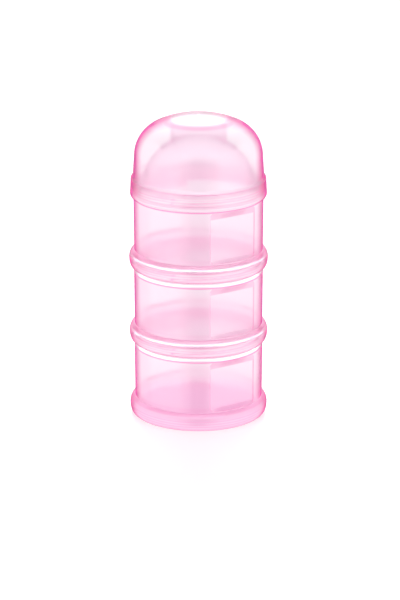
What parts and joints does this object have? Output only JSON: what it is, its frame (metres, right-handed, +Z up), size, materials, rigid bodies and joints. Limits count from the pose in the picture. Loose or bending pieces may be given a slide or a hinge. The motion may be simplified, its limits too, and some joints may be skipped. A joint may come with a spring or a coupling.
{
  "type": "formula dispenser",
  "caption": "Clear pink milk-powder dispenser: round cups with flat side panels screw into a stack, topped by a screw-on pouring funnel and a push-on dome cap.",
  "frame": {"origin": "centre of the ring that the stack stands on, at its underside", "axes": "+Z up along the stack's axis; the flat panels face 55.5 degrees clockwise of +X, seen from above, and the opposite way"},
  "size_m": [0.075, 0.075, 0.1665],
  "materials": {
    "clear_pink_plastic": "clear, smooth and glossy, tinted pink through the wall",
    "silicone": "soft translucent silicone"
  },
  "bodies": {
    "cup_bottom": {"cup_bottom": "clear_pink_plastic"},
    "seal_lower": {"seal_lower": "silicone"},
    "cup_middle": {"cup_middle": "clear_pink_plastic"},
    "seal_middle": {"seal_middle": "silicone"},
    "cup_top": {"cup_top": "clear_pink_plastic"},
    "seal_upper": {"seal_upper": "silicone"},
    "funnel": {"funnel": "clear_pink_plastic"},
    "dome_cap": {"dome_cap": "clear_pink_plastic"}
  },
  "joints": [
    {"name": "middle_lift", "type": "slide", "parent": "cup_bottom", "child": "seal_lower", "axis": [0, 0, 1], "range_m": [0, 0.01081]},
    {"name": "middle_turn", "type": "hinge", "parent": "seal_lower", "child": "cup_middle", "pos_m": [0, 0, 0.0415], "axis": [0, 0, 1], "range_deg": [0, 540]},
    {"name": "top_lift", "type": "slide", "parent": "cup_middle", "child": "seal_middle", "axis": [0, 0, 1], "range_m": [0, 0.01081]},
    {"name": "top_turn", "type": "hinge", "parent": "seal_middle", "child": "cup_top", "pos_m": [0, 0, 0.083], "axis": [0, 0, 1], "range_deg": [0, 540]},
    {"name": "funnel_lift", "type": "slide", "parent": "cup_top", "child": "seal_upper", "axis": [0, 0, 1], "range_m": [0, 0.01081]},
    {"name": "funnel_turn", "type": "hinge", "parent": "seal_upper", "child": "funnel", "pos_m": [0, 0, 0.1245], "axis": [0, 0, 1], "range_deg": [0, 540]},
    {"name": "dome_lift", "type": "slide", "parent": "funnel", "child": "dome_cap", "axis": [0, 0, 1], "range_m": [0, 0.075]}
  ],
  "couplings": [
    {"joint": "middle_lift", "follows": "middle_turn", "m_per_rad": 0.0011459},
    {"joint": "top_lift", "follows": "top_turn", "m_per_rad": 0.0011459},
    {"joint": "funnel_lift", "follows": "funnel_turn", "m_per_rad": 0.0011459}
  ]
}
